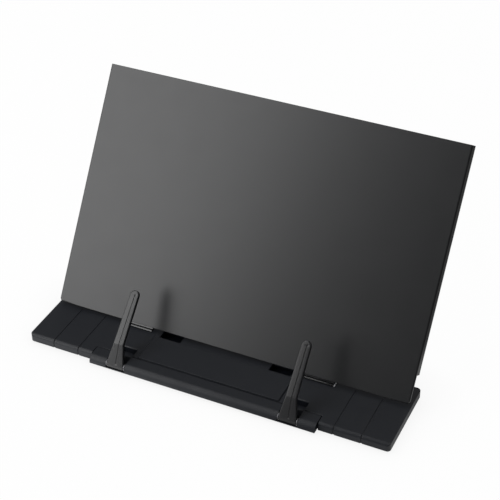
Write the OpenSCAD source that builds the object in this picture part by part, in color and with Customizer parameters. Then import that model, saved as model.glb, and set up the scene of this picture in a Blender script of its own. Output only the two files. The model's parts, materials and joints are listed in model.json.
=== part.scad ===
// Folding desk book stand: a leaning panel on a low tray, two page holders on a pull-out bar, and a prop leg.
// The origin lies on the table under the middle of the whole stand. +X is to the right, +Y to the back.
// The modules are drawn from the panel's hinge axis, and centred() moves them to the origin.

/* [Panel] */
// Width of the panel
panel_w = 350; // [330:1:352]
// Height of the front sheet, along the lean
panel_h = 228; // [200:1:260]
// Overall thickness of the panel
panel_t = 11; // [10.5:0.1:12]
// Thickness of the front sheet
sheet_t = 2.5; // [2:0.1:2.8]
// Thickness of the walls around the panel
panel_wall = 2.2; // [1.6:0.1:3]
// Thickness of the back cover
cover_t = 2; // [1.8:0.1:2.4]
// Radius of the panel's two lower corners
panel_corner = 3; // [1:0.5:6]
// Thickness of the ribs behind the sheet
rib_t = 1.6; // [1.2:0.1:2.4]
// Lean of the panel from upright, in degrees
panel_lean = 33; // [31:1:45]

/* [Tray] */
// Width of the tray
tray_w = 353; // [352:1:380]
// Hinge axis to the tray's front edge
tray_front = 52.5; // [48:0.5:55]
// Hinge axis to the tray's back edge
tray_back = 26; // [22:0.5:30]
// Height of the tray without its feet
tray_h = 8; // [7.8:0.1:9]
// Thickness of the deck's top
deck_t = 2.4; // [2:0.1:2.6]
// Thickness of the deck's skirt and inner walls
skirt_t = 2; // [1.6:0.1:2.2]
// Thickness of the base plate and of the pocket floors
base_t = 1.5; // [1.2:0.1:1.7]
// Radius of the tray's corners in plan
tray_corner = 3.5; // [2.5:0.5:8]
// Rounding of the tray's front edge
tray_nose = 3.3; // [2:0.1:5]
// Middle of the tray to the inner guide groove
guide_inner = 125.3; // [118:0.1:135]
// Middle of the tray to the outer guide groove
guide_outer = 150.7; // [140:0.1:165]
// Width of a guide groove
guide_w = 1.1; // [0.8:0.1:2]
// Depth of a guide groove
guide_deep = 0.5; // [0.3:0.1:0.8]
// Height of the raised plate between the holders
plate_h = 1; // [0.6:0.1:1.4]

/* [Hinge] */
// Deck top down to the hinge axis
hinge_deep = 2.5; // [2.4:0.1:2.7]
// Hinge axis up to the sheet's lower edge, along the lean
hinge_drop = 4.2; // [4:0.1:6]
// Middle of the tray to the middle of a hinge
hinge_x = 91; // [90.5:0.5:97]
// Width of a hinge leaf
leaf_w = 28; // [20:0.5:28]
// Thickness of a hinge leaf
leaf_t = 2; // [1.5:0.1:2.4]
// Height of a hinge leaf on the sheet
leaf_h = 20; // [16:0.5:22]
// Radius of the hinge barrel
barrel_r = 2.5; // [2.4:0.1:2.7]
// Radius of the hinge pin
hinge_pin_r = 1.2; // [1:0.1:1.3]
// Length of pin held in the deck on each side
hinge_seat = 7; // [5:0.5:8]

/* [Slide] */
// Width of the slide bar
bar_w = 221; // [212:1:230]
// Hinge axis to the front of the slide bar
bar_front = 58; // [56:0.5:62]
// Hinge axis to the back of the slide bar
bar_back = 42.5; // [42:0.1:43]
// Rounding of the slide bar's front edge
bar_nose = 6; // [4:0.1:6.5]
// Travel of the slide
slide_travel = 20; // [10:1:21]
// Width of the tongue under the deck
tongue_w = 143; // [130:1:144]
// Width of the tongue's front tab, inside the bar
tab_w = 130; // [116:1:132]
// Width of the tongue's tail
tail_w = 86; // [80:1:87]
// Thickness of the tongue
tongue_t = 2.6; // [2:0.1:2.8]
// Length of a friction leaf under the tongue
friction_leaf_l = 22; // [16:1:24]
// Width of a friction leaf
friction_leaf_w = 8; // [5:0.5:12]

/* [Page holders] */
// Middle of the tray to the middle of a holder
holder_x = 84.5; // [84.5:0.5:88]
// Width of the pocket that a holder stands in
pocket_w = 18.6; // [18.4:0.1:19.4]
// Depth of the pocket behind the slide bar
pocket_back = 10.5; // [8:0.5:14]
// Hinge axis to the holder's pin
holder_y = 54.2; // [53.4:0.1:54.3]
// Table to the holder's pin
holder_z = 5.8; // [5.7:0.1:6.2]
// Radius of the holder's barrel
holder_barrel_r = 3.6; // [3.2:0.1:3.7]
// Radius of the holder's pin
holder_pin_r = 1.25; // [1:0.05:1.4]
// Length of holder pin held in the bar on each side
holder_seat = 6; // [4:0.5:8]
// Width of a holder at its foot
holder_foot_w = 16; // [14:0.5:16]
// Width of a holder at its crease
holder_crease_w = 10.2; // [8:0.1:12]
// Width of a holder at its tip
holder_tip_w = 8.8; // [6:0.1:9.5]
// Pin to crease
holder_lower = 20.5; // [16:0.5:24]
// Crease to tip
holder_upper = 50.5; // [40:0.5:56]
// Thickness of a holder
holder_t = 3.5; // [2.5:0.1:3.5]
// Bend back at the crease, in degrees
holder_bend = 19; // [12:1:30]
// Lean of the left holder's lower part, in degrees
left_lean = 27; // [0:1:30]
// Lean of the right holder's lower part, in degrees
right_lean = 24; // [0:1:30]
// Width of the groove down a holder's front
channel_w = 1.6; // [1:0.1:3]
// Groove's place to the right of the holder's middle
channel_x = 1.1; // [0:0.1:1.5]
// Depth of the groove down a holder's front
channel_deep = 0.5; // [0.3:0.1:0.8]

/* [Prop leg] */
// Sheet's lower edge up to the leg's pin
leg_up = 150; // [148:1:170]
// Width of the leg
leg_w = 56; // [44:1:60]
// Thickness of the leg
leg_t = 6; // [4:0.1:6.4]
// Radius of the leg's barrel
leg_barrel_r = 3.4; // [3.2:0.1:3.6]
// Radius of the leg's pin
leg_pin_r = 2; // [1.5:0.1:2.2]
// Length of leg pin held in the panel on each side
leg_seat = 9; // [6:0.5:12]
// Radius of the leg's rubber foot
leg_foot_r = 3.5; // [3:0.1:3.6]
// Tilt of the leg from upright, in degrees
leg_tilt = 13.5; // [10:0.5:15]
// Width of the window in the leg
leg_window_w = 30; // [10:1:36]
// Height of the window in the leg
leg_window_h = 70; // [30:1:90]

/* [Feet, screws and washers] */
// Height of the tray's rubber feet
foot_h = 1.5; // [1.4:0.1:2]
// Radius of the tray's rubber feet
foot_r = 6; // [4:0.5:8]
// Radius of a screw's shank
screw_r = 1.2; // [1:0.05:1.3]
// Radius of a screw's head
head_r = 2.2; // [2:0.1:2.6]
// Height of a screw's head
head_h = 1; // [0.8:0.1:1.2]
// Radius of the posts and bosses that take screws
post_r = 3; // [2.5:0.1:3.5]
// Thickness of a pivot washer
washer_t = 1; // [0.6:0.1:1.1]
// Radius of a pivot washer
washer_r = 3.2; // [2.8:0.1:3.4]

/* [Clearances] */
// Gap between sliding or turning pieces and what they pass
slide_gap = 0.5; // [0.4:0.05:0.6]
// Gap between the folded sheet and the deck, and the folded leg and the sheet
fold_gap = 0.4; // [0.35:0.05:0.6]
// Gap between the folded panel's wall and the tray's back edge
fold_end = 3.5; // [2:0.1:5]
// Radial play of a pin that turns
run_fit = 0.05; // [0.02:0.01:0.08]
// Radial play of a pin or screw that is held
seat_fit = 0.02; // [0.01:0.01:0.04]
// Gap around a cover in its frame
cover_gap = 0.25; // [0.15:0.05:0.4]
// Room beside a barrel or leaf that swings
swing_gap = 0.75; // [0.6:0.05:1]

/* [Hidden] */
$fn = 48;
eps = 0.1;
past = 1;

black = [0.10, 0.10, 0.11];
grey = [0.16, 0.16, 0.17];
steel = [0.72, 0.72, 0.74];
rubber = [0.05, 0.05, 0.05];

// Levels of the tray
deck_top = foot_h + tray_h;
deck_under = deck_top - deck_t;
base_top = foot_h + base_t;
post_len = deck_under - base_top;
pilot_end = 0.4;

// Hinge of the panel
hinge_z = deck_top - hinge_deep;
hinge_set = hinge_deep + fold_gap + sheet_t;
hinge_gap_w = leaf_w + 2 * swing_gap + washer_t;
leaf_x = hinge_x - washer_t / 2;
hinge_gap_y = barrel_r + 2 * swing_gap;
hinge_pin_l = hinge_gap_w + 2 * hinge_seat;
hinge_boss_z = hinge_z - hinge_pin_r;
leaf_screw_x = leaf_w / 2 - 6;
leaf_screw_up = leaf_h - 8;
neck_up = 6;

// Hinge axis to the stand's back and to its middle
stand_back = (panel_h + hinge_drop) * sin(panel_lean) + (panel_t - hinge_set) * cos(panel_lean);
stand_mid = (stand_back - bar_front) / 2;

// Recesses of the tray
recess_y = -bar_back + slide_gap;
recess_w = bar_w + 2 * slide_gap;
leg_bay_w = leg_w + 6 * swing_gap;
leg_bay_y = hinge_gap_y + 2 * skirt_t;
window_in = 44.5;
window_out = 65.5;
window_front = 7;
window_back = 3;
plate_half = holder_x - pocket_w / 2 - 5;
plate_back = window_front + 1;

// Slide
friction_leaf_t = 0.3;
friction_leaf_bow = 0.2;
friction_leaf_x = 35;
tongue_z = base_top + friction_leaf_t + friction_leaf_bow + fold_gap;
tongue_top = tongue_z + tongue_t;
tail_y = -hinge_gap_y - 2 * skirt_t;
tail_end = leg_bay_y - 2 * skirt_t - swing_gap;
stop_y = tail_y - slide_travel;
bar_z = foot_h + slide_gap;
bar_wall = 3;
bar_screw_y = -bar_back - 6;
bar_screw_x = [18, 52];

// Page holders
sill_gap = 0.1;
holder_down = 22;
barrel_room = holder_barrel_r + swing_gap;
web_h = 3;
web_top = 1;
pocket_lip = 0.8;
holder_pin_l = pocket_w + 2 * holder_seat;

// Panel
strip_h = tray_back + fold_end - hinge_drop;
cover_low = strip_h + panel_wall + cover_gap;
cover_high = panel_h - panel_wall - cover_gap;
cover_half = panel_w / 2 - panel_wall - cover_gap;
cover_in = panel_t - cover_t;
cover_screw_x = [50, cover_half - 13];
cover_screw_up = [cover_low + 13, cover_high - 13];

// Prop leg, with its length set so that its foot meets the table
leg_in = sheet_t + leg_foot_r + fold_gap;
leg_gap = washer_t + slide_gap;
leg_pin_l = leg_w + 2 * leg_gap + 2 * leg_seat;
leg_z = hinge_z + (leg_up + hinge_drop) * cos(panel_lean) - (leg_in - hinge_set) * sin(panel_lean);
leg_len = (leg_z - leg_foot_r) / cos(leg_tilt);
leg_open = panel_lean + leg_tilt;
leg_bay_top = leg_up + leg_barrel_r + 2 * swing_gap;
tenon_t = 2.5;
tenon_deep = 1.5;

// Screws and feet under the tray
post_in = 8.5;
base_screw_at = [
    [tray_w / 2 - post_in, (tray_back - tray_front) / 2],
    [recess_w / 2 + post_in, recess_y + post_in + post_r],
    [recess_w / 2 + post_in, tray_back - post_in],
];
foot_in = 12;

// Moves a piece drawn from the hinge axis so that the origin is the middle of the stand
module centred() {
    translate([0, -stand_mid, 0])
        children();
}

// Copies a piece made on the right to both sides
module both_sides() {
    for (side = [0, 1])
        mirror([side, 0, 0])
            children();
}

// Puts a piece made on the right on the left (-1) or the right (1)
module on_side(side) {
    mirror([side < 0 ? 1 : 0, 0, 0])
        children();
}

// Extrudes an outline drawn in Y and Z along X, centred
module along_x(len) {
    rotate([90, 0, 90])
        linear_extrude(len, center = true)
            children();
}

// Extrudes an outline drawn in Y and Z along X, from one place to another
module between_x(from, to) {
    translate([(from + to) / 2, 0, 0])
        along_x(to - from)
            children();
}

// Extrudes an outline drawn in X and Z towards the back
module upright(t) {
    translate([0, t, 0])
        rotate([90, 0, 0])
            linear_extrude(t)
                children();
}

// Rectangle given by its four sides
module box_2d(left, right, low, high) {
    translate([left, low])
        square([right - left, high - low]);
}

// Rectangle with four round corners, centred in X
module round_rect(w, front, back, r) {
    box_2d(-w / 2 + r, w / 2 - r, front, back);
    box_2d(-w / 2, w / 2, front + r, back - r);
    for (x = [-w / 2 + r, w / 2 - r])
        for (y = [front + r, back - r])
            translate([x, y])
                circle(r);
}

// Section with a rounded upper front edge, drawn in Y and Z
module nosed_section(front, back, low, high, r) {
    box_2d(front, back, low, high - r);
    box_2d(front + r, back, low, high);
    intersection() {
        translate([front + r, high - r])
            circle(r);
        box_2d(front, front + r + eps, high - r - eps, high);
    }
}

// Screw with the underside of its head at the origin and its shank along +Z
module screw(len) {
    translate([0, 0, -head_h])
        cylinder(h = head_h, r = head_r);
    cylinder(h = len, r = screw_r);
}

// Flat ring around an X axis, from one place to another
module washer(from, to, bore) {
    between_x(from, to)
        difference() {
            circle(washer_r);
            circle(bore);
        }
}

// Places children in the leaning panel's frame: X across, Y into the panel, Z up the sheet
module on_panel() {
    centred()
        translate([0, 0, hinge_z])
            rotate([-panel_lean, 0, 0])
                translate([0, -hinge_set, hinge_drop])
                    children();
}

// Outlines of what is cut from the tray, grown by room on every side

module bar_recess(room) {
    box_2d(-recess_w / 2 - room, recess_w / 2 + room, -bar_front - past, recess_y + room);
}

module leg_bay(room) {
    box_2d(-leg_bay_w / 2 - room, leg_bay_w / 2 + room, leg_bay_y - room, tray_back + past);
}

module pockets(room) {
    reach = pocket_w / 2 + slide_gap + room;
    both_sides()
        box_2d(holder_x - reach, holder_x + reach, recess_y - past, recess_y + pocket_back + room);
}

module hinge_gaps(room) {
    reach = hinge_gap_w / 2 + room;
    both_sides()
        box_2d(hinge_x - reach, hinge_x + reach, -hinge_gap_y - room, tray_back + past);
}

// Hollow under the deck, drawn smaller by a gap for the plate that closes it
module hollow(gap) {
    room = skirt_t + gap;
    difference() {
        round_rect(tray_w - 2 * room, -tray_front + room, tray_back - room, tray_corner - skirt_t);
        bar_recess(room);
        leg_bay(room);
        pockets(room);
        hinge_gaps(room);
    }
}

// Places of the screws that hold the base plate; the middle post also stops the slide
module at_base_screws() {
    both_sides()
        for (at = base_screw_at)
            translate(at)
                children();
    translate([0, stop_y])
        children();
}

module at_feet() {
    for (x = [-tray_w / 2 + foot_in, tray_w / 2 - foot_in])
        for (y = [-tray_front + foot_in, tray_back - foot_in])
            translate([x, y])
                children();
}

// Middles of the four blocks that hold the hinge pins
module at_hinge_bosses() {
    both_sides()
        for (end = [-1, 1])
            translate([hinge_x + end * (hinge_gap_w + hinge_seat) / 2, 0])
                children();
}

module tray_shell() {
    difference() {
        translate([0, 0, foot_h])
            linear_extrude(tray_h)
                difference() {
                    round_rect(tray_w, -tray_front, tray_back, tray_corner);
                    bar_recess(0);
                    leg_bay(0);
                }
        translate([0, 0, foot_h - past])
            linear_extrude(deck_under - foot_h + past)
                hollow(0);
        translate([0, 0, base_top])
            linear_extrude(tray_h) {
                pockets(0);
                hinge_gaps(0);
            }
    }
}

module tray_insides() {
    translate([0, 0, base_top])
        linear_extrude(post_len + eps) {
            at_base_screws()
                circle(post_r);
            both_sides()
                box_2d(tongue_w / 2 + slide_gap, tongue_w / 2 + slide_gap + skirt_t, recess_y, tail_y);
        }
    translate([0, 0, hinge_boss_z])
        linear_extrude(deck_under - hinge_boss_z + eps)
            at_hinge_bosses()
                square([hinge_seat, 2 * hinge_gap_y], center = true);
}

// Way of the tongue under the deck's front edge
module tongue_way() {
    translate([0, 0, foot_h - past])
        linear_extrude(deck_under - foot_h + past)
            box_2d(-tongue_w / 2 - slide_gap, tongue_w / 2 + slide_gap,
                recess_y - past, recess_y + skirt_t + eps);
}

// Seats of the hinge pins, open from below
module hinge_seats() {
    both_sides()
        between_x(hinge_x - hinge_pin_l / 2 - eps, hinge_x + hinge_pin_l / 2 + eps) {
            translate([0, hinge_z])
                circle(hinge_pin_r + seat_fit);
            box_2d(-hinge_pin_r - seat_fit, hinge_pin_r + seat_fit, base_top, hinge_z);
        }
}

module front_rounding() {
    along_x(tray_w + 2 * past)
        difference() {
            box_2d(-tray_front - past, -tray_front + tray_nose, deck_top - tray_nose, deck_top + past);
            translate([-tray_front + tray_nose, deck_top - tray_nose])
                circle(tray_nose);
        }
}

// Guide grooves over the deck and down its front edge
module guide_grooves() {
    both_sides()
        for (x = [guide_inner, guide_outer])
            between_x(x - guide_w / 2, x + guide_w / 2)
                difference() {
                    box_2d(-tray_front - past, 0, foot_h - past, deck_top + past);
                    nosed_section(-tray_front + guide_deep, past, foot_h - 2 * past, deck_top - guide_deep,
                        tray_nose);
                }
}

// Chamfers along the rear edges of the pockets
module pocket_lips() {
    edge = recess_y + pocket_back;
    reach = pocket_w / 2 + slide_gap;
    both_sides()
        between_x(holder_x - reach, holder_x + reach)
            polygon([[edge - eps, deck_top - pocket_lip], [edge, deck_top - pocket_lip],
                [edge + pocket_lip, deck_top], [edge + pocket_lip, deck_top + past],
                [edge - eps, deck_top + past]]);
}

module tray_deck() {
    color(black) centred()
        difference() {
            union() {
                tray_shell();
                tray_insides();
            }
            tongue_way();
            hinge_seats();
            front_rounding();
            guide_grooves();
            pocket_lips();
            translate([0, 0, deck_under - past])
                linear_extrude(deck_t + 2 * past)
                    both_sides()
                        box_2d(window_in, window_out, -window_front, window_back);
            translate([0, 0, base_top - eps])
                linear_extrude(post_len - pilot_end + eps)
                    at_base_screws()
                        circle(screw_r + seat_fit);
        }
}

module base_plate() {
    color(black) centred()
        translate([0, 0, foot_h])
            linear_extrude(base_t)
                difference() {
                    hollow(cover_gap);
                    at_base_screws()
                        circle(screw_r + seat_fit);
                }
}

module base_screws() {
    color(steel) centred()
        translate([0, 0, foot_h])
            at_base_screws()
                screw(base_t + post_len - 2 * pilot_end);
}

module rubber_feet() {
    color(rubber) centred()
        at_feet()
            cylinder(h = foot_h, r = foot_r);
}

// Low plate with a square front and sloping sides and back, standing on the deck
module centre_plate() {
    front = recess_y + slide_gap;
    color(black) centred()
        intersection() {
            along_x(2 * plate_half)
                polygon([[front, deck_top], [-plate_back, deck_top],
                    [-plate_back - plate_h, deck_top + plate_h], [front, deck_top + plate_h]]);
            translate([0, front - past, 0])
                upright(-front - plate_back + 2 * past)
                    polygon([[-plate_half, deck_top], [plate_half, deck_top],
                        [plate_half - plate_h, deck_top + plate_h],
                        [-plate_half + plate_h, deck_top + plate_h]]);
        }
}

module hinge_pin(side) {
    color(steel) centred()
        on_side(side)
            translate([hinge_x, 0, hinge_z])
                along_x(hinge_pin_l)
                    circle(hinge_pin_r);
}

module left_hinge_pin() {
    hinge_pin(-1);
}

module right_hinge_pin() {
    hinge_pin(1);
}

// Spacers between the hinge barrels and the deck, on the outer side of each hinge
module hinge_washers() {
    half = hinge_gap_w / 2;
    color(steel) centred()
        both_sides()
            translate([hinge_x, 0, hinge_z])
                washer(half - washer_t, half, hinge_pin_r + run_fit);
}

// Blocks between the pin blocks and the base plate
module hinge_caps() {
    color(black) centred()
        translate([0, 0, base_top])
            linear_extrude(hinge_boss_z - base_top - seat_fit)
                both_sides()
                    for (end = [-1, 1])
                        translate([hinge_x + end * (hinge_gap_w + hinge_seat + skirt_t + cover_gap) / 2, 0])
                            square([hinge_seat - skirt_t - cover_gap, 2 * hinge_gap_y], center = true);
}

// Bowed strips that rub under the tongue
module friction_leaves() {
    rise = friction_leaf_bow;
    color(steel) centred()
        both_sides()
            translate([friction_leaf_x, stop_y - friction_leaf_l / 2, base_top])
                along_x(friction_leaf_w)
                    polygon([[0, 0], [friction_leaf_l / 2, rise], [friction_leaf_l, 0],
                        [friction_leaf_l, friction_leaf_t], [friction_leaf_l / 2, rise + friction_leaf_t],
                        [0, friction_leaf_t]]);
}

module at_bar_screws() {
    both_sides()
        for (x = bar_screw_x)
            translate([x, bar_screw_y, tongue_z])
                children();
}

// What is cut from the bar around one page holder, leaving a sill that the lowered blade just clears
// in front and a ramp behind
module holder_pocket() {
    between_x(holder_x - pocket_w / 2, holder_x + pocket_w / 2) {
        translate([-holder_y, holder_z]) {
            circle(holder_barrel_r + 2 * sill_gap);
            rotate(-holder_down)
                box_2d(-bar_front, 0, -holder_barrel_r - sill_gap, deck_top);
        }
        box_2d(-holder_y - holder_pin_r, -holder_y + barrel_room, bar_z - past, deck_top + past);
        polygon([[-holder_y, bar_z + web_h], [-holder_y + barrel_room, bar_z + web_h],
            [-bar_back - web_top, deck_top], [-bar_back - web_top, deck_top + past],
            [-holder_y, deck_top + past]]);
    }
    between_x(tab_w / 2, holder_x + holder_pin_l / 2 + eps)
        translate([-holder_y, holder_z])
            circle(holder_pin_r + seat_fit);
}

module slide_bar() {
    color(black) centred()
        difference() {
            along_x(bar_w)
                nosed_section(-bar_front, -bar_back, bar_z, deck_top, bar_nose);
            along_x(tab_w + 2 * cover_gap)
                box_2d(-bar_front + bar_wall, -bar_back + past, bar_z - past, tongue_top);
            both_sides()
                holder_pocket();
            translate([0, 0, tongue_t - eps])
                at_bar_screws()
                    cylinder(h = deck_top - tongue_top - pilot_end + eps, r = screw_r + seat_fit);
        }
}

module slide_tongue() {
    slot_half = post_r + slide_gap;
    color(black) centred()
        difference() {
            translate([0, 0, tongue_z])
                linear_extrude(tongue_t)
                    difference() {
                        union() {
                            box_2d(-tab_w / 2, tab_w / 2, -bar_front + bar_wall + cover_gap, -bar_back + eps);
                            box_2d(-tongue_w / 2, tongue_w / 2, -bar_back, tail_y);
                            box_2d(-tail_w / 2, tail_w / 2, tail_y - eps, tail_end);
                        }
                        box_2d(-slot_half, slot_half, stop_y - slot_half, stop_y + slide_travel + slot_half);
                    }
            translate([0, 0, -eps])
                at_bar_screws()
                    cylinder(h = tongue_t + 2 * eps, r = screw_r + seat_fit);
        }
}

module slide_bar_screws() {
    color(steel) centred()
        at_bar_screws()
            screw(tongue_t + deck_top - tongue_top - 2 * pilot_end);
}

module holder_pin(side) {
    color(steel) centred()
        on_side(side)
            translate([holder_x, -holder_y, holder_z])
                along_x(holder_pin_l)
                    circle(holder_pin_r);
}

module left_holder_pin() {
    holder_pin(-1);
}

module right_holder_pin() {
    holder_pin(1);
}

module holder_washers(side) {
    half = pocket_w / 2;
    color(steel) centred()
        on_side(side)
            translate([holder_x, -holder_y, holder_z]) {
                washer(-half, -half + washer_t, holder_pin_r + run_fit);
                washer(half - washer_t, half, holder_pin_r + run_fit);
            }
}

module left_holder_washers() {
    holder_washers(-1);
}

module right_holder_washers() {
    holder_washers(1);
}

// Front outline of the holder below its crease
module holder_lower_outline() {
    foot = holder_foot_w / 2;
    crease = holder_crease_w / 2;
    polygon([[-foot, 0], [foot, 0], [foot, holder_barrel_r], [crease, holder_lower], [-crease, holder_lower],
        [-foot, holder_barrel_r]]);
}

// Front outline of the holder above its crease
module holder_upper_outline() {
    crease = holder_crease_w / 2;
    tip = holder_tip_w / 2;
    polygon([[-crease, 0], [crease, 0], [tip, holder_upper - tip], [-tip, holder_upper - tip]]);
    translate([0, holder_upper - tip])
        circle(tip);
}

// Blade around its pin, bent back at the crease, with a groove down its front
module page_holder(side, lean) {
    color(grey) centred()
        on_side(side)
            translate([holder_x, -holder_y, holder_z])
                rotate([-lean, 0, 0])
                    difference() {
                        union() {
                            along_x(holder_foot_w)
                                circle(holder_barrel_r);
                            translate([0, -holder_barrel_r, 0])
                                upright(holder_t)
                                    holder_lower_outline();
                            translate([0, -holder_barrel_r, holder_lower])
                                rotate([-holder_bend, 0, 0])
                                    upright(holder_t)
                                        holder_upper_outline();
                        }
                        along_x(holder_foot_w + past)
                            circle(holder_pin_r + run_fit);
                        translate([side * channel_x, -holder_barrel_r - past, 0])
                            upright(past + channel_deep)
                                box_2d(-channel_w / 2, channel_w / 2, 0, holder_lower);
                        translate([side * channel_x, -holder_barrel_r, holder_lower])
                            rotate([-holder_bend, 0, 0])
                                translate([0, -past, 0])
                                    upright(past + channel_deep)
                                        box_2d(-channel_w / 2, channel_w / 2,
                                            -past, holder_upper - holder_tip_w / 2);
                    }
}

module left_page_holder() {
    page_holder(-1, left_lean);
}

module right_page_holder() {
    page_holder(1, right_lean);
}

module sheet_outline() {
    r = panel_corner;
    box_2d(-panel_w / 2, panel_w / 2, r, panel_h);
    box_2d(-panel_w / 2 + r, panel_w / 2 - r, 0, r + eps);
    both_sides()
        translate([panel_w / 2 - r, r])
            circle(r);
}

module panel_walls() {
    difference() {
        box_2d(-panel_w / 2, panel_w / 2, strip_h, panel_h);
        box_2d(-panel_w / 2 + panel_wall, panel_w / 2 - panel_wall, strip_h + panel_wall, panel_h - panel_wall);
        box_2d(-leg_bay_w / 2, leg_bay_w / 2, strip_h - past, strip_h + panel_wall + past);
    }
}

// Stiffening ribs beside the leg and across the sheet above it
module panel_ribs() {
    side_in = leg_pin_l / 2;
    for (up = [leg_up / 2, leg_up])
        both_sides()
            box_2d(side_in, panel_w / 2 - panel_wall + eps, up - rib_t / 2, up + rib_t / 2);
    top = (leg_bay_top + panel_h) / 2;
    box_2d(-panel_w / 2 + panel_wall - eps, panel_w / 2 - panel_wall + eps, top - rib_t / 2, top + rib_t / 2);
}

module leg_blocks() {
    reach = leg_pin_r + 2.5;
    both_sides()
        box_2d(leg_w / 2 + leg_gap, leg_pin_l / 2, leg_up - reach, leg_up + reach);
}

module at_cover_screws() {
    both_sides()
        for (x = cover_screw_x)
            for (up = cover_screw_up)
                translate([x, up])
                    children();
}

module at_leaf_screws() {
    both_sides()
        for (x = [-leaf_screw_x, leaf_screw_x])
            translate([leaf_x + x, leaf_screw_up])
                children();
}

module panel_front() {
    color(black)
        on_panel()
            difference() {
                union() {
                    upright(sheet_t)
                        sheet_outline();
                    translate([0, sheet_t - eps, 0])
                        upright(panel_t - sheet_t + eps)
                            panel_walls();
                    translate([0, sheet_t - eps, 0])
                        upright(cover_in - sheet_t + eps) {
                            panel_ribs();
                            leg_blocks();
                            at_cover_screws()
                                circle(post_r);
                        }
                }
                translate([0, sheet_t + pilot_end, 0])
                    upright(panel_t)
                        at_cover_screws()
                            circle(screw_r + seat_fit);
                translate([0, pilot_end, 0])
                    upright(sheet_t)
                        at_leaf_screws()
                            circle(screw_r + seat_fit);
                translate([0, leg_in, leg_up])
                    along_x(leg_pin_l + 2 * eps)
                        circle(leg_pin_r + seat_fit);
            }
}

module panel_back_cover() {
    color(black)
        on_panel()
            difference() {
                translate([0, cover_in, 0])
                    upright(cover_t)
                        difference() {
                            box_2d(-cover_half, cover_half, cover_low, cover_high);
                            box_2d(-leg_bay_w / 2, leg_bay_w / 2, cover_low - past, leg_bay_top);
                            at_cover_screws()
                                circle(screw_r + seat_fit);
                        }
                translate([0, panel_t - head_h, 0])
                    upright(head_h + past)
                        at_cover_screws()
                            circle(head_r + cover_gap);
            }
}

module cover_screws() {
    color(steel)
        on_panel()
            translate([0, panel_t - head_h, 0])
                rotate([90, 0, 0])
                    at_cover_screws()
                        screw(panel_t - head_h - sheet_t - 2 * pilot_end);
}

// Leaf screwed behind the sheet, with a set-back neck and the barrel that turns on the hinge pin
module hinge_leaf(side) {
    color(black)
        on_panel()
            on_side(side)
                difference() {
                    union() {
                        translate([leaf_x, sheet_t, 0])
                            upright(leaf_t)
                                box_2d(-leaf_w / 2, leaf_w / 2, 0, leaf_h);
                        translate([leaf_x, hinge_set - leaf_t / 2, 0])
                            upright(leaf_t)
                                box_2d(-leaf_w / 2, leaf_w / 2, -hinge_drop, neck_up);
                        translate([leaf_x, hinge_set, -hinge_drop])
                            along_x(leaf_w)
                                circle(barrel_r);
                    }
                    translate([leaf_x, hinge_set, -hinge_drop])
                        along_x(leaf_w + past)
                            circle(hinge_pin_r + run_fit);
                    upright(panel_t)
                        at_leaf_screws()
                            circle(screw_r + seat_fit);
                }
}

module left_hinge_leaf() {
    hinge_leaf(-1);
}

module right_hinge_leaf() {
    hinge_leaf(1);
}

module hinge_leaf_screws() {
    color(steel)
        on_panel()
            translate([0, sheet_t + leaf_t, 0])
                rotate([90, 0, 0])
                    at_leaf_screws()
                        screw(leaf_t + sheet_t - 2 * pilot_end);
}

module leg_pin() {
    color(steel)
        on_panel()
            translate([0, leg_in, leg_up])
                along_x(leg_pin_l)
                    circle(leg_pin_r);
}

module leg_washers() {
    inner = leg_w / 2 + slide_gap;
    color(steel)
        on_panel()
            translate([0, leg_in, leg_up])
                both_sides()
                    washer(inner, inner + washer_t, leg_pin_r + run_fit);
}

// Places children at the leg's pin with -Z down the leg
module on_leg() {
    on_panel()
        translate([0, leg_in, leg_up])
            rotate([leg_open, 0, 0])
                children();
}

module leg_tenon(play) {
    along_x(leg_w + (play > 0 ? 2 * past : 0))
        box_2d(-tenon_t / 2 - play, tenon_t / 2 + play,
            -leg_len - tenon_deep - play, -leg_len + leg_foot_r + eps);
}

module prop_leg() {
    color(black)
        on_leg()
            difference() {
                union() {
                    along_x(leg_w) {
                        circle(leg_barrel_r);
                        box_2d(-leg_t / 2, leg_t / 2, -leg_len + leg_foot_r, 0);
                    }
                    leg_tenon(0);
                }
                along_x(leg_w + past)
                    circle(leg_pin_r + run_fit);
                translate([0, -leg_t, -leg_len / 2])
                    upright(2 * leg_t)
                        box_2d(-leg_window_w / 2, leg_window_w / 2, -leg_window_h / 2, leg_window_h / 2);
            }
}

module leg_foot() {
    color(rubber)
        on_leg()
            difference() {
                translate([0, 0, -leg_len])
                    along_x(leg_w)
                        circle(leg_foot_r);
                leg_tenon(seat_fit);
            }
}

tray_deck();
base_plate();
base_screws();
rubber_feet();
centre_plate();
left_hinge_pin();
right_hinge_pin();
hinge_washers();
hinge_caps();
friction_leaves();
slide_bar();
slide_tongue();
slide_bar_screws();
left_holder_pin();
right_holder_pin();
left_holder_washers();
right_holder_washers();
left_page_holder();
right_page_holder();
panel_front();
panel_back_cover();
cover_screws();
left_hinge_leaf();
right_hinge_leaf();
hinge_leaf_screws();
leg_pin();
leg_washers();
prop_leg();
leg_foot();
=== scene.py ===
"""Looks of the folding book stand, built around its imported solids."""
import json
import math

import bmesh
import bpy
from mathutils import Matrix, Vector


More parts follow.
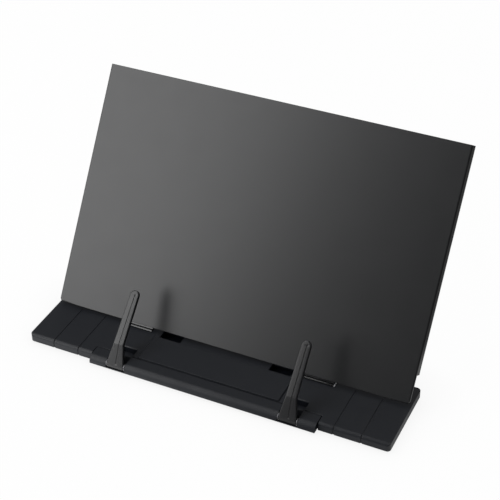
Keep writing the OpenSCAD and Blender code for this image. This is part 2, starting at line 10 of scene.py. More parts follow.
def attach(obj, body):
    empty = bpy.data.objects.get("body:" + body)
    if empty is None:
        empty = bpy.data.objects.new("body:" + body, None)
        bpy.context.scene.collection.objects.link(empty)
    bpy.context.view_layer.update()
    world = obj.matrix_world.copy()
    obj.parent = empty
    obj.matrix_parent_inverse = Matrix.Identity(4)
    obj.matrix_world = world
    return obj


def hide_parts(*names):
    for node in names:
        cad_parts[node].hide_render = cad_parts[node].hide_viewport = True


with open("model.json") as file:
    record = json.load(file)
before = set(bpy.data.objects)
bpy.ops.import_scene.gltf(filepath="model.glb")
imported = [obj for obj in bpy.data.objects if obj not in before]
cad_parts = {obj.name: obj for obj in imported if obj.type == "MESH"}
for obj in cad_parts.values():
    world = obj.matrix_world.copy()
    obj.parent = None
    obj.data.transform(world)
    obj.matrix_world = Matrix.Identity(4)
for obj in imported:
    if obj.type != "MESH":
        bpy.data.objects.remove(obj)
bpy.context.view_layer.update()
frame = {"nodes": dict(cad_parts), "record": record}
MM = 0.001

# Camera at the photograph's place, in metres and degrees, with its lens and sensor in millimetres
CAMERA_AT = (0.432119, -0.896797, 0.818879)
CAMERA_TURN = (54.1278, 0.3768, 25.1208)
CAMERA_LENS = 99.77
CAMERA_SENSOR = 36.0
CAMERA_FAR = 100.0

# Edges of moulded and turned pieces, rounded by these widths in millimetres
EDGES = {
    "tray_deck": 0.35, "base_plate": 0.25, "centre_plate": 0.25, "slide_bar": 0.35, "slide_tongue": 0.3,
    "panel_front": 0.35, "panel_back_cover": 0.3, "left_hinge_leaf": 0.35, "right_hinge_leaf": 0.35,
    "prop_leg": 0.7, "hinge_caps": 0.2, "left_hinge_pin": 0.25, "right_hinge_pin": 0.25,
    "hinge_washers": 0.15, "left_holder_pin": 0.2, "right_holder_pin": 0.2, "left_holder_washers": 0.15,
    "right_holder_washers": 0.15, "leg_pin": 0.3, "leg_washers": 0.15, "friction_leaves": 0.05,
}
EDGE_STEPS = 2
# Edges flatter than this, in degrees, are left as they are
EDGE_TURN = 35.0
# Width of the rounding at the sides of the panel's broad front, in millimetres, and its steps
PANEL_RIM = 1.4
PANEL_RIM_STEPS = 5
# Smooth shading stops at edges sharper than the first angle in degrees, and at the second between faces
# broader than the width in millimetres
SHARP_TURN = 50.0
CREASE_TURN = 5.0
BROAD_FACE = 3.0
# How strongly broad faces set the shading along the roundings beside them
NORMAL_WEIGHT = 100
# Points nearer than this, in millimetres, and faces turned by less than this, in degrees, count as one
SAME_POINT = 0.002
SAME_FACE = 1.0
# Points this close to a plane, in millimetres, lie on a screw's head or on the table
ON_HEAD = 0.01
ON_TABLE = 0.05
# Flat sides around turned pieces
ROUND_SIDES = 48
SCREW_SIDES = 24

# Sizes that the pieces made here share with the solids, in millimetres and degrees
PANEL_LEAN = 33.0
INTO_PANEL = Vector((0, math.cos(math.radians(PANEL_LEAN)), -math.sin(math.radians(PANEL_LEAN))))
UP = Vector((0, 0, 1))
SCREW_AXIS = {
    "base_screws": UP, "slide_bar_screws": UP, "cover_screws": -INTO_PANEL, "hinge_leaf_screws": -INTO_PANEL,
}
SCREW = {
    "head_r": 2.2, "head_h": 1.0, "shank_r": 1.2, "root_r": 0.95, "pitch": 0.7, "point": 0.6, "neck": 0.3,
}
# Rounding of a screw's head: distances in from its radius, at depths from the shank's side to the top
SCREW_HEAD = ((0.1, 0.0), (0.0, 0.1), (0.0, 0.35), (0.12, 0.6), (0.4, 0.82), (0.75, SCREW["head_h"]))
# Cross recess in a screw's head, smaller at its floor by the taper
CROSS = {"reach": 1.2, "half_w": 0.28, "deep": 0.55, "taper": 0.85}
# Radius and height along a rubber foot, from the hollow inside its raised ring to its top
FOOT_PROFILE = (
    (3.4, 0.3), (3.9, 0.25), (4.15, 0.05), (4.3, 0.0), (5.2, 0.0), (5.55, 0.08), (5.85, 0.35), (6.0, 0.8),
    (6.0, 1.5),
)
LEG_FOOT = {
    "r": 3.5, "half": 28.0, "slot": 1.27, "slot_deep": 1.52, "tilt": 13.5, "rib": 0.22, "end": 0.3,
    "end_share": 0.94,
}
LEG_FOOT_STEPS = 72
# Share of the way around the leg's foot where its ribs begin and end
RIBBED = (0.2, 0.8)
HOLDER = {
    "barrel_r": 3.6, "barrel_edge": 0.35, "bore_r": 1.3, "foot_w": 16.0, "foot_step": 0.4, "crease_w": 10.2,
    "tip_w": 8.8, "lower": 20.5, "upper": 50.5, "thick": 3.5, "edge": 0.9, "bend": 19.0, "bend_length": 1.2,
    "groove_w": 1.6, "groove_x": 1.1, "groove_deep": 0.5, "groove_in": 0.25, "groove_out": 0.15,
    "groove_end": 0.8,
}
HOLDER_PIVOT = (84.5, -90.781, 5.8)
HOLDER_LEAN = {"left_page_holder": 27.0, "right_page_holder": 24.0}
# Angles across a blade's rounded edge and around its tip, in degrees
EDGE_ANGLES = (0, 30, 60, 90)
TIP_ANGLES = range(0, 91, 10)
# The middle of a rounded corner lies in from both faces by this share of its radius
CORNER_SHARE = 0.3

# Range in which most of a noise lies
NOISE_RANGE = (0.3, 0.7)
# Noises in the finishes, by scale per metre and detail
CLOUDS = (35.0, 3.0)
SHEEN = (60.0, 5.0)
DRAWN_LINES = (900.0, 2.0)
DRAWN_ALONG = (0.05, 1.0, 1.0)
GRAIN_DETAIL = 2.0
# Strength of the grain in plastics and of the lines in steel, whose height is in metres
GRAIN_STRENGTH = 0.35
LINE_STRENGTH = 0.1
LINE_HEIGHT = 0.00002
# Wear along edges: its reach in millimetres, its samples, and how alike two normals are from start to full
WEAR_REACH = 0.5
WEAR_SAMPLES = 6
WEAR_RANGE = (0.995, 0.85)

# Floor: size in metres, look, reach of the shadow in metres, and what the camera sees of it
FLOOR_R = 14.0
FLOOR_SIDES = 96
FLOOR_COLOR = (0.86, 0.86, 0.86, 1)
FLOOR_ROUGH = 0.9
FLOOR_SPECULAR = 0.1
SHADOW_REACH = 0.06
SHADOW_SAMPLES = 8
SHADOW_DARKEST = 0.85
OWN_WHITE = 0.98
# Pools of light on the floor in reflections: place and radii in metres, strength around them and within
POOLS = (
    ((-0.22, -0.12), (0.42, 0.22), 0.12, 1.6),
    ((0.0, 0.07), (0.22, 0.22), 0.0, 0.8),
    ((0.18, -0.07), (0.16, 0.16), 0.0, 0.85),
)
POOL_MIDDLE = 0.85
# Light of the studio: ranges of a direction's X, Y or Z, each with the strengths at its two ends
ROOM = 0.12
BEHIND_Y = (0.0, 0.5, 0.0, 1.0)
BEHIND_X = (-0.46, -0.2, 0.08, 0.4)
WALL_X = (-0.34, -0.43, 0.0, 1.15)
WALL_Y = (-0.3, -0.55, 0.0, 1.0)
WALL_Z = (0.12, 0.3, 1.0, 0.0)
# Lamps: place, aim, width and height in metres, and power in watts
LAMPS = {
    "top_box": ((-0.9, -0.3, 1.7), (-0.9, -0.3, 0.0), 0.95, 1.2, 9.5),
    "back_box": ((-0.3, 0.6, 1.7), (-0.3, 0.6, 0.0), 0.45, 0.5, 1.6),
    "left_card": ((-1.085, -0.9, 0.855), (-1.085, 0.0, 0.855), 1.37, 1.29, 17.7),
}


# Materials

def new_material(name):
    material = bpy.data.materials.new(name)
    material.use_nodes = True
    tree = material.node_tree
    return material, tree, tree.nodes["Principled BSDF"]


def link(tree, source, target):
    tree.links.new(source, target)


def noise(tree, scale, detail, stretch=None):
    """Noise in the piece's own metres, stretched along an axis where asked."""
    where = tree.nodes.new("ShaderNodeTexCoord").outputs["Object"]
    if stretch:
        mapping = tree.nodes.new("ShaderNodeMapping")
        mapping.inputs["Scale"].default_value = stretch
        link(tree, where, mapping.inputs["Vector"])
        where = mapping.outputs["Vector"]
    node = tree.nodes.new("ShaderNodeTexNoise")
    node.inputs["Scale"].default_value = scale
    node.inputs["Detail"].default_value = detail
    link(tree, where, node.inputs["Vector"])
    return node.outputs["Fac"]


def map_range(tree, value, start, end, low, high, smooth=False):
    """Maps a value from one range to another."""
    node = tree.nodes.new("ShaderNodeMapRange")
    if smooth:
        node.interpolation_type = "SMOOTHSTEP"
    node.inputs["From Min"].default_value = start
    node.inputs["From Max"].default_value = end
    node.inputs["To Min"].default_value = low
    node.inputs["To Max"].default_value = high
    link(tree, value, node.inputs["Value"])
    return node.outputs["Result"]


def spread(tree, value, low, high):
    """Maps a noise to a range."""
    return map_range(tree, value, *NOISE_RANGE, low, high)


def maths(tree, operation, first, second):
    """Joins two values; the second may be a number."""
    node = tree.nodes.new("ShaderNodeMath")
    node.operation = operation
    link(tree, first, node.inputs[0])
    if isinstance(second, float):
        node.inputs[1].default_value = second
    else:
        link(tree, second, node.inputs[1])
    return node.outputs["Value"]


def between(tree, factor, first, second):
    """Colour between two, by a factor."""
    node = tree.nodes.new("ShaderNodeMix")
    node.data_type = "RGBA"
    node.inputs["A"].default_value = (*first, 1)
    node.inputs["B"].default_value = (*second, 1)
    link(tree, factor, node.inputs["Factor"])
    return node.outputs["Result"]


def edge_mask(tree):
    """Rises from 0 on flat faces to 1 along edges."""
    bevel = tree.nodes.new("ShaderNodeBevel")
    bevel.samples = WEAR_SAMPLES
    bevel.inputs["Radius"].default_value = WEAR_REACH * MM
    geometry = tree.nodes.new("ShaderNodeNewGeometry")
    dot = tree.nodes.new("ShaderNodeVectorMath")
    dot.operation = "DOT_PRODUCT"
    link(tree, bevel.outputs["Normal"], dot.inputs[0])
    link(tree, geometry.outputs["Normal"], dot.inputs[1])
    return map_range(tree, dot.outputs["Value"], *WEAR_RANGE, 0.0, 1.0)


def bump(tree, shader, height, strength, distance):
    node = tree.nodes.new("ShaderNodeBump")
    node.inputs["Strength"].default_value = strength
    node.inputs["Distance"].default_value = distance
    link(tree, height, node.inputs["Height"])
    link(tree, node.outputs["Normal"], shader.inputs["Normal"])


def plastic(name, dark, pale, worn, rough, specular, grain, grain_height):
    """Moulded plastic: cloudy colour, uneven sheen, a fine grain, and edges rubbed a little paler."""
    material, tree, shader = new_material(name)
    cloud = between(tree, noise(tree, *CLOUDS), dark, pale)
    mix = tree.nodes.new("ShaderNodeMix")
    mix.data_type = "RGBA"
    mix.inputs["B"].default_value = (*worn, 1)
    link(tree, cloud, mix.inputs["A"])
    link(tree, edge_mask(tree), mix.inputs["Factor"])
    link(tree, mix.outputs["Result"], shader.inputs["Base Color"])
    link(tree, spread(tree, noise(tree, *SHEEN), *rough), shader.inputs["Roughness"])
    shader.inputs["Specular IOR Level"].default_value = specular
    bump(tree, shader, noise(tree, grain, GRAIN_DETAIL), GRAIN_STRENGTH, grain_height)
    return material


def metal(name, dark, pale, rough):
    """Steel with fine drawn lines and an uneven sheen."""
    material, tree, shader = new_material(name)
    lines = noise(tree, *DRAWN_LINES, DRAWN_ALONG)
    link(tree, between(tree, lines, dark, pale), shader.inputs["Base Color"])
    link(tree, spread(tree, lines, *rough), shader.inputs["Roughness"])
    shader.inputs["Metallic"].default_value = 1.0
    bump(tree, shader, lines, LINE_STRENGTH, LINE_HEIGHT)
    return material


MATERIALS = {
    "panel_plastic": plastic(
        "panel_black", dark=(0.0075, 0.0081, 0.0094), pale=(0.0095, 0.0101, 0.0114),
        worn=(0.014, 0.014, 0.015), rough=(0.325, 0.345), specular=0.65, grain=5200.0, grain_height=0.000003),
    "tray_plastic": plastic(
        "tray_black", dark=(0.005, 0.0068, 0.0113), pale=(0.007, 0.0088, 0.0133),
        worn=(0.016, 0.017, 0.019), rough=(0.42, 0.5), specular=0.42, grain=2600.0, grain_height=0.00003),
    "holder_plastic": plastic(
        "holder_black", dark=(0.011, 0.0114, 0.0128), pale=(0.014, 0.0144, 0.0158),
        worn=(0.03, 0.03, 0.031), rough=(0.28, 0.34), specular=0.6, grain=3200.0, grain_height=0.00001),
    "steel": metal(
        "bright_steel", dark=(0.42, 0.42, 0.44), pale=(0.58, 0.58, 0.6), rough=(0.26, 0.38)),
    "rubber": plastic(
        "black_rubber", dark=(0.011, 0.011, 0.011), pale=(0.018, 0.018, 0.018),
        worn=(0.03, 0.03, 0.03), rough=(0.7, 0.85), specular=0.3, grain=1800.0, grain_height=0.00005),
}
# Nodes whose finish differs from the rest of their slot
# Darker copy of the bright steel for the holder washers: its darker colour is painted shade, and it is also
# rougher
SHADED_DULL_STEEL = metal("shaded_dull_steel", dark=(0.14, 0.14, 0.15), pale=(0.2, 0.2, 0.21), rough=(0.36, 0.48))
HINGE_BLACK = plastic(
    "hinge_black", dark=(0.011, 0.0114, 0.0128), pale=(0.014, 0.0144, 0.0158),
    worn=(0.02, 0.02, 0.021), rough=(0.2, 0.26), specular=0.7, grain=3200.0, grain_height=0.00001)
FINISHES = {
    "left_holder_washers": SHADED_DULL_STEEL, "right_holder_washers": SHADED_DULL_STEEL,
    "left_hinge_leaf": HINGE_BLACK, "right_hinge_leaf": HINGE_BLACK,
}

SLOT_OF = {row["node"]: row["material_slot"] for row in frame["record"]["subparts"]}
BODY_OF = {node: body for body, nodes in frame["record"]["behaviour"]["bodies"].items() for node in nodes}


def finish_of(node):
    return FINISHES.get(node, MATERIALS[SLOT_OF[node]])


# Pieces

def face_width(face):
    """How broad a face is across its longest side."""
    return face.calc_area() / max(edge.calc_length() for edge in face.edges)


def stays_sharp(edge):
    if len(edge.link_faces) != 2:
        return True
    turn = math.degrees(edge.calc_face_angle(0))
    if turn > SHARP_TURN:
        return True
    return turn > CREASE_TURN and min(face_width(face) for face in edge.link_faces) > BROAD_FACE * MM


def mesh_from(bm, name):
    """Ends a mesh: faces outward, curves smooth, and no normals left over from the solid it came from."""
    bmesh.ops.recalc_face_normals(bm, faces=bm.faces)
    for face in bm.faces:
        face.smooth = True
    for edge in bm.edges:
        edge.smooth = not stays_sharp(edge)
    mesh = bpy.data.meshes.new(name)
    bm.to_mesh(mesh)
    bm.free()
    if "custom_normal" in mesh.attributes:
        mesh.attributes.remove(mesh.attributes["custom_normal"])
    return mesh


def add_piece(bm, node):
    """Adds a piece that stands for a CAD node, on its body and with its finish."""
    name = node + "_skin"
    mesh = mesh_from(bm, name)
    mesh.materials.append(finish_of(node))
    piece = bpy.data.objects.new(name, mesh)
    bpy.context.scene.collection.objects.link(piece)
    normals = piece.modifiers.new("flat_faces_stay_flat", "WEIGHTED_NORMAL")
    normals.mode = "FACE_AREA"
    normals.weight = NORMAL_WEIGHT
    normals.keep_sharp = True
    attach(piece, BODY_OF[node])
    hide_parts(node)


def welded(node):
    """The node's mesh with its corners joined and its flat faces made whole."""
    bm = bmesh.new()
    bm.from_mesh(frame["nodes"][node].data)
    bmesh.ops.remove_doubles(bm, verts=bm.verts, dist=SAME_POINT * MM)
    bmesh.ops.dissolve_limit(bm, angle_limit=math.radians(SAME_FACE), verts=bm.verts, edges=bm.edges)
    return bm


def round_edges(bm, edges, width, steps):
    bmesh.ops.bevel(bm, geom=edges, offset=width * MM, segments=steps, profile=0.5, affect="EDGES",
                    clamp_overlap=False, loop_slide=True)


def soften(node, width):
    """A copy of a node whose outer edges are rounded, as moulded and turned edges are."""
    bm = welded(node)
    if node == "panel_front":
        front = max(bm.faces, key=lambda face: face.calc_area())
        sides = [edge for edge in front.edges if abs(edge.verts[0].co.x - edge.verts[1].co.x) < MM]
        round_edges(bm, sides, PANEL_RIM, PANEL_RIM_STEPS)
    edges = [edge for edge in bm.edges if len(edge.link_faces) == 2 and edge.is_convex
             and edge.calc_face_angle(0) > math.radians(EDGE_TURN)]
    round_edges(bm, edges, width, EDGE_STEPS)
    add_piece(bm, node)


def loose_parts(node):
    """Connected parts of a node's mesh, as lists of places."""
    bm = welded(node)
    seen = set()
    parts = []
    for start in bm.verts:
        if start in seen:
            continue
        seen.add(start)
        stack = [start]
        part = []
        while stack:
            vert = stack.pop()
            part.append(vert.co.copy())
            for edge in vert.link_edges:
                other = edge.other_vert(vert)
                if other not in seen:
                    seen.add(other)
                    stack.append(other)
        parts.append(part)
    bm.free()
    return parts


def add_ring(bm, points):
    return [bm.verts.new(Vector(point) * MM) for point in points]


def join_rings(bm, first, second):
    """Faces between two closed rings of as many points."""
    count = len(first)
    for i in range(count):
        j = (i + 1) % count
        bm.faces.new((first[i], first[j], second[j], second[i]))


def join_row(bm, rings):
    """Faces along a row of rings."""
    for first, second in zip(rings, rings[1:]):
        join_rings(bm, first, second)


def zip_rings(bm, inner, outer):
    """Triangles between two rings of unlike counts, walked by angle around Z."""
    def by_angle(ring):
        angles = [math.atan2(vert.co.y, vert.co.x) % (2 * math.pi) for vert in ring]
        start = angles.index(min(angles))
        return ring[start:] + ring[:start], angles[start:] + angles[:start]

    (a, a_at), (b, b_at) = by_angle(inner), by_angle(outer)
    i = j = 0
    while i < len(a) or j < len(b):
        next_a = a_at[i + 1] if i + 1 < len(a) else a_at[0] + 2 * math.pi
        next_b = b_at[j + 1] if j + 1 < len(b) else b_at[0] + 2 * math.pi
        if j >= len(b) or (i < len(a) and next_a < next_b):
            bm.faces.new((a[i % len(a)], a[(i + 1) % len(a)], b[j % len(b)]))
            i += 1
        else:
            bm.faces.new((b[j % len(b)], b[(j + 1) % len(b)], a[i % len(a)]))
            j += 1


def turn_points(r, z, count):
    angles = [2 * math.pi * i / count for i in range(count)]
    return [(r * math.cos(angle), r * math.sin(angle), z) for angle in angles]


def lathe(bm, profile, count, close_start=True, close_end=True):
    """Turns a profile of radius and height around Z, and gives its rings."""
    rings = [add_ring(bm, turn_points(r, z, count)) for r, z in profile]
    join_row(bm, rings)
    if close_start:
        bm.faces.new(rings[0])
    if close_end:
        bm.faces.new(rings[-1])
    return rings


def add_cross(bm, rim):
    """Cross recess in a screw's flat top, inside the top's rim."""
    reach, half, taper = CROSS["reach"], CROSS["half_w"], CROSS["taper"]
    arm = [(reach, -half), (reach, half), (half, half)]
    cross = []
    for _ in range(4):
        cross += arm
        arm = [(-y, x) for x, y in arm]
    top = -SCREW["head_h"]
    mouth = add_ring(bm, [(x, y, top) for x, y in cross])
    floor = add_ring(bm, [(taper * x, taper * y, top + CROSS["deep"]) for x, y in cross])
    zip_rings(bm, mouth, rim)
    join_rings(bm, mouth, floor)
    bm.faces.new(floor)


def one_screw(length):
    """Pan-head screw with a cross recess and a threaded shank, its head under Z = 0, its shank along +Z."""
    bm = bmesh.new()
    shank_r, root_r, pitch = SCREW["shank_r"], SCREW["root_r"], SCREW["pitch"]
    z = length - SCREW["point"]
    profile = [(0.5 * root_r, length), (root_r, z)]
    while z - pitch > SCREW["neck"]:
        profile += [(shank_r, z - 0.5 * pitch), (root_r, z - pitch)]
        z -= pitch
    profile.append((root_r, 0.0))
    profile += [(SCREW["head_r"] - inset, -down) for inset, down in SCREW_HEAD]
    rings = lathe(bm, profile, SCREW_SIDES, close_end=False)
    add_cross(bm, rings[-1])
    mesh = bpy.data.meshes.new("screw")
    bm.to_mesh(mesh)
    bm.free()
    return mesh


def add_screws(node):
    """Puts a modelled screw in the place of each plain one of a node."""
    axis = SCREW_AXIS[node]
    turn = axis.to_track_quat("Z", "Y").to_matrix().to_4x4()
    bm = bmesh.new()
    for part in loose_parts(node):
        along = [place.dot(axis) for place in part]
        low, high = min(along), max(along)
        rim = [place for place, t in zip(part, along) if t < low + ON_HEAD * MM]
        head = sum(rim, Vector()) / len(rim)
        mesh = one_screw((high - low) / MM - SCREW["head_h"])
        mesh.transform(Matrix.Translation(head + axis * SCREW["head_h"] * MM) @ turn)
        bm.from_mesh(mesh)
        bpy.data.meshes.remove(mesh)
    add_piece(bm, node)


def add_rubber_feet():
    """Round feet with a soft rim and a raised ring that stands on the table."""
    bm = bmesh.new()
    for part in loose_parts("rubber_feet"):
        rings = lathe(bm, FOOT_PROFILE, ROUND_SIDES)
        middle = Vector((sum(p.x for p in part), sum(p.y for p in part), 0)) / len(part)
        bmesh.ops.translate(bm, verts=sum(rings, []), vec=middle)
    add_piece(bm, "rubber_feet")


def leg_foot_outline():
    """Section through the leg's foot: a round open above for the leg's blade, with ribs underneath."""
    r, slot, slot_floor = LEG_FOOT["r"], LEG_FOOT["slot"], -LEG_FOOT["slot_deep"]
    lip = math.degrees(math.acos(slot / r))
    outline = [(slot, slot_floor)]
    for i in range(LEG_FOOT_STEPS + 1):
        turn = math.radians(lip - i * (180 + 2 * lip) / LEG_FOOT_STEPS)
        between_ribs = i % 2 and RIBBED[0] < i / LEG_FOOT_STEPS < RIBBED[1]
        reach = r - LEG_FOOT["rib"] if between_ribs else r
        outline.append((reach * math.cos(turn), reach * math.sin(turn)))
    outline.append((-slot, slot_floor))
    return outline


def add_leg_foot():
    """Rubber sleeve along the leg's end, ribbed where it stands on the table."""
    found = welded("leg_foot")
    touching = [vert.co.y for vert in found.verts if abs(vert.co.z) < ON_TABLE * MM]
    found.free()
    bm = bmesh.new()
    outline = leg_foot_outline()
    half, end, share = LEG_FOOT["half"], LEG_FOOT["end"], LEG_FOOT["end_share"]
    rings = []
    for x, size in ((-half, share), (end - half, 1.0), (half - end, 1.0), (half, share)):
        rings.append(add_ring(bm, [(x, y * size, z * size) for y, z in outline]))
    join_row(bm, rings)
    bm.faces.new(rings[0])
    bm.faces.new(rings[-1])
    middle = Matrix.Translation((0, sum(touching) / len(touching), LEG_FOOT["r"] * MM))
    bm.transform(middle @ Matrix.Rotation(math.radians(LEG_FOOT["tilt"]), 4, "X"))
    add_piece(bm, "leg_foot")


def holder_width(s):
    """Half the width of a page holder at a height along its blade."""
    foot, crease, tip = HOLDER["foot_w"] / 2, HOLDER["crease_w"] / 2, HOLDER["tip_w"] / 2
    if s < HOLDER["barrel_r"]:
        return foot
    if s < HOLDER["lower"]:
        return foot + (crease - foot) * (s - HOLDER["barrel_r"]) / (HOLDER["lower"] - HOLDER["barrel_r"])
    return crease + (tip - crease) * (s - HOLDER["lower"]) / (HOLDER["upper"] - tip)


def holder_point(x, s, deep):
    """Place on a holder's blade, from its width, height along the blade and depth behind its front."""
    bend = math.radians(HOLDER["bend"])
    past = s - HOLDER["lower"]
    turn = bend * min(max(past / HOLDER["bend_length"] + 0.5, 0.0), 1.0)
    y = -HOLDER["barrel_r"] + max(past, 0.0) * math.sin(bend)
    z = min(s, HOLDER["lower"]) + max(past, 0.0) * math.cos(bend)
    return (x, y + deep * math.cos(turn), z - deep * math.sin(turn))


def holder_ring(place, groove):
    """One ring around the blade; place gives a point of its outline moved in by a distance."""
    edge, thick, half = HOLDER["edge"], HOLDER["thick"], 0.5 * HOLDER["groove_w"]
    turns = [math.radians(angle) for angle in EDGE_ANGLES]
    arc = [(edge * (1 - math.sin(turn)), edge * (1 - math.cos(turn))) for turn in turns]
    x, s = place(edge)
    inner, outer = min(half - HOLDER["groove_in"], x), min(half + HOLDER["groove_out"], x)
    middle = min(HOLDER["groove_x"], x - outer)
    front = [(middle - outer, s, 0), (middle - inner, s, groove)]
    front += [(middle + inner, s, groove), (middle + outer, s, 0)]
    right = [(*place(inset), deep) for inset, deep in arc]
    right += [(px, ps, thick - deep) for px, ps, deep in reversed(right)]
    left = [(-px, ps, deep) for px, ps, deep in reversed(right)]
    return [holder_point(*point) for point in front + right + left]


def add_blade(bm):
    """Bent blade with rounded edges and a round tip, and a groove down its front."""
    lower, tip, deep = HOLDER["lower"], HOLDER["tip_w"] / 2, HOLDER["groove_deep"]
    barrel_r, step, half_bend = HOLDER["barrel_r"], HOLDER["foot_step"], 0.5 * HOLDER["bend_length"]
    tip_s = lower + HOLDER["upper"] - tip
    heights = (0.0, barrel_r - step, barrel_r + step, 0.5 * lower, lower - half_bend, lower,
               lower + half_bend, 0.5 * (lower + tip_s), tip_s - HOLDER["groove_end"])

    def side_at(s):
        return lambda inset: (holder_width(s) - inset, s)

    def tip_at(turn):
        return lambda inset: ((tip - inset) * math.cos(turn), tip_s + (tip - inset) * math.sin(turn))

    rings = [add_ring(bm, holder_ring(side_at(s), deep)) for s in heights]
    for angle in TIP_ANGLES:
        groove = 0.0 if angle else deep
        rings.append(add_ring(bm, holder_ring(tip_at(math.radians(angle)), groove)))
    join_row(bm, rings)
    bm.faces.new(rings[0])
    bmesh.ops.remove_doubles(bm, verts=bm.verts, dist=SAME_POINT * MM)


def add_barrel(bm):
    """Bored barrel at a holder's foot, along X."""
    half, bore = HOLDER["foot_w"] / 2, HOLDER["bore_r"]
    r, edge = HOLDER["barrel_r"], HOLDER["barrel_edge"]
    cut = CORNER_SHARE * edge
    profile = [(bore, -half), (r - edge, -half), (r - cut, -half + cut), (r, -half + edge),
               (r, half - edge), (r - cut, half - cut), (r - edge, half), (bore, half)]
    rings = lathe(bm, profile, ROUND_SIDES, close_start=False, close_end=False)
    join_rings(bm, rings[-1], rings[0])
    quarter = Matrix.Rotation(math.radians(90), 3, "Y")
    bmesh.ops.rotate(bm, verts=sum(rings, []), cent=(0, 0, 0), matrix=quarter)


def add_page_holder(node, side):
    """Blade on a barrel that turns on the holder's pin, leaning as in the photograph."""
    bm = bmesh.new()
    add_blade(bm)
    add_barrel(bm)
    x, y, z = HOLDER_PIVOT
    place = Matrix.Translation(Vector((side * x, y, z)) * MM)
    bm.transform(place @ Matrix.Rotation(math.radians(-HOLDER_LEAN[node]), 4, "X"))
    add_piece(bm, node)


for node_name, edge_width in EDGES.items():
    soften(node_name, edge_width)
for node_name in SCREW_AXIS:
    add_screws(node_name)
add_rubber_feet()
add_leg_foot()
add_page_holder("left_page_holder", -1)
add_page_holder("right_page_holder", 1)

for node_name, node_object in frame["nodes"].items():
    node_object.data.materials.clear()
    node_object.data.materials.append(finish_of(node_name))


# Stage, light and camera

def pool(tree, place, radii, low, high):
    """Oval pool on the floor, from a value around it to one at its middle."""
    where = tree.nodes.new("ShaderNodeTexCoord")
    mapping = tree.nodes.new("ShaderNodeMapping")
    mapping.vector_type = "TEXTURE"
    mapping.inputs["Location"].default_value = (*place, 0)
    mapping.inputs["Scale"].default_value = (*radii, 1)
    link(tree, where.outputs["Object"], mapping.inputs["Vector"])
    gradient = tree.nodes.new("ShaderNodeTexGradient")
    gradient.gradient_type = "SPHERICAL"
    link(tree, mapping.outputs["Vector"], gradient.inputs["Vector"])
    return map_range(tree, gradient.outputs["Fac"], 0.0, POOL_MIDDLE, low, high, smooth=True)


def floor_material():
    """Pale floor: its own white for the camera, pools of light in reflections, and the shadow on both."""
    material, tree, shader = new_material("pale_floor")
    shader.inputs["Base Color"].default_value = FLOOR_COLOR
    shader.inputs["Roughness"].default_value = FLOOR_ROUGH
    shader.inputs["Specular IOR Level"].default_value = FLOOR_SPECULAR
    near = tree.nodes.new("ShaderNodeAmbientOcclusion")
    near.samples = SHADOW_SAMPLES
    near.inputs["Distance"].default_value = SHADOW_REACH
    shade = near.outputs["AO"]
    path = tree.nodes.new("ShaderNodeLightPath")
    camera = path.outputs["Is Camera Ray"]
    elsewhere = map_range(tree, camera, 0.0, 1.0, 1.0, 0.0)
    white = maths(tree, "MULTIPLY", map_range(tree, shade, 0.0, 1.0, SHADOW_DARKEST, 1.0), camera)
    front, back, right = [pool(tree, *row) for row in POOLS]
    pools = maths(tree, "MAXIMUM", maths(tree, "MAXIMUM", front, back), right)
    mirrored = maths(tree, "MULTIPLY", maths(tree, "MULTIPLY", shade, pools), elsewhere)
    glow = tree.nodes.new("ShaderNodeEmission")
    link(tree, maths(tree, "ADD", mirrored, white), glow.inputs["Strength"])
    seen = maths(tree, "MAXIMUM", path.outputs["Is Glossy Ray"], path.outputs["Is Transmission Ray"])
    seen = maths(tree, "MAXIMUM", seen, maths(tree, "MULTIPLY", camera, OWN_WHITE))
    mix = tree.nodes.new("ShaderNodeMixShader")
    link(tree, seen, mix.inputs["Fac"])
    link(tree, shader.outputs["BSDF"], mix.inputs[1])
    link(tree, glow.outputs["Emission"], mix.inputs[2])
    link(tree, mix.outputs["Shader"], tree.nodes["Material Output"].inputs["Surface"])
    return material


def add_floor():
    bm = bmesh.new()
    bmesh.ops.create_circle(bm, cap_ends=True, segments=FLOOR_SIDES, radius=FLOOR_R)
    mesh = mesh_from(bm, "floor")
    mesh.materials.append(floor_material())
    floor = bpy.data.objects.new("floor", mesh)
    bpy.context.scene.collection.objects.link(floor)


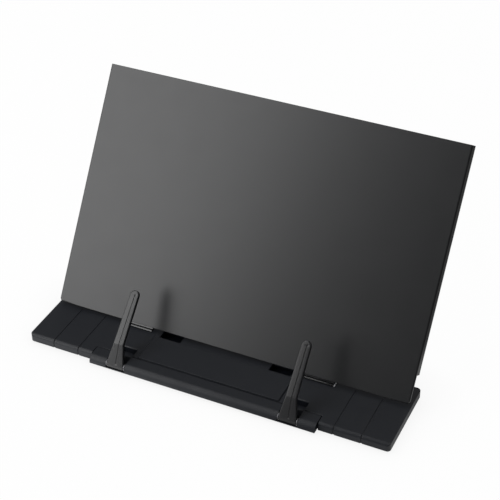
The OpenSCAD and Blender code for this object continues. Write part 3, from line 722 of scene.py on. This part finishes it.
def add_light(name, at, aim, width, height, power):
    data = bpy.data.lights.new(name, "AREA")
    data.shape = "RECTANGLE"
    data.size = width
    data.size_y = height
    data.energy = power
    lamp = bpy.data.objects.new(name, data)
    lamp.location = at
    lamp.rotation_euler = (Vector(aim) - Vector(at)).to_track_quat("-Z", "Y").to_euler()
    lamp.visible_camera = False
    bpy.context.scene.collection.objects.link(lamp)


def set_world():
    """Dim studio, darker in front of the stand than behind it, with a pale low wall at the front left.

    The camera sees it white, as it sees the floor.
    """
    world = bpy.data.worlds.new("studio")
    world.use_nodes = True
    bpy.context.scene.world = world
    tree = world.node_tree
    where = tree.nodes.new("ShaderNodeTexCoord")
    parts = tree.nodes.new("ShaderNodeSeparateXYZ")
    link(tree, where.outputs["Generated"], parts.inputs["Vector"])

    def along(axis, steps):
        return map_range(tree, parts.outputs[axis], *steps, smooth=True)

    behind = maths(tree, "MULTIPLY", along("Y", BEHIND_Y), along("X", BEHIND_X))
    room = maths(tree, "ADD", behind, ROOM)
    front_left = maths(tree, "MULTIPLY", along("X", WALL_X), along("Y", WALL_Y))
    wall = maths(tree, "MULTIPLY", front_left, along("Z", WALL_Z))
    camera = tree.nodes.new("ShaderNodeLightPath").outputs["Is Camera Ray"]
    background = tree.nodes["Background"]
    background.inputs["Color"].default_value = (1, 1, 1, 1)
    strength = maths(tree, "MAXIMUM", maths(tree, "ADD", room, wall), camera)
    link(tree, strength, background.inputs["Strength"])


def add_camera():
    data = bpy.data.cameras.new("camera")
    data.lens = CAMERA_LENS
    data.sensor_width = CAMERA_SENSOR
    data.clip_end = CAMERA_FAR
    camera = bpy.data.objects.new("camera", data)
    camera.location = CAMERA_AT
    camera.rotation_euler = [math.radians(angle) for angle in CAMERA_TURN]
    bpy.context.scene.collection.objects.link(camera)
    bpy.context.scene.camera = camera


add_floor()
for lamp_name, lamp_row in LAMPS.items():
    add_light(lamp_name, *lamp_row)
set_world()
add_camera()
bpy.context.scene.view_settings.view_transform = "Standard"
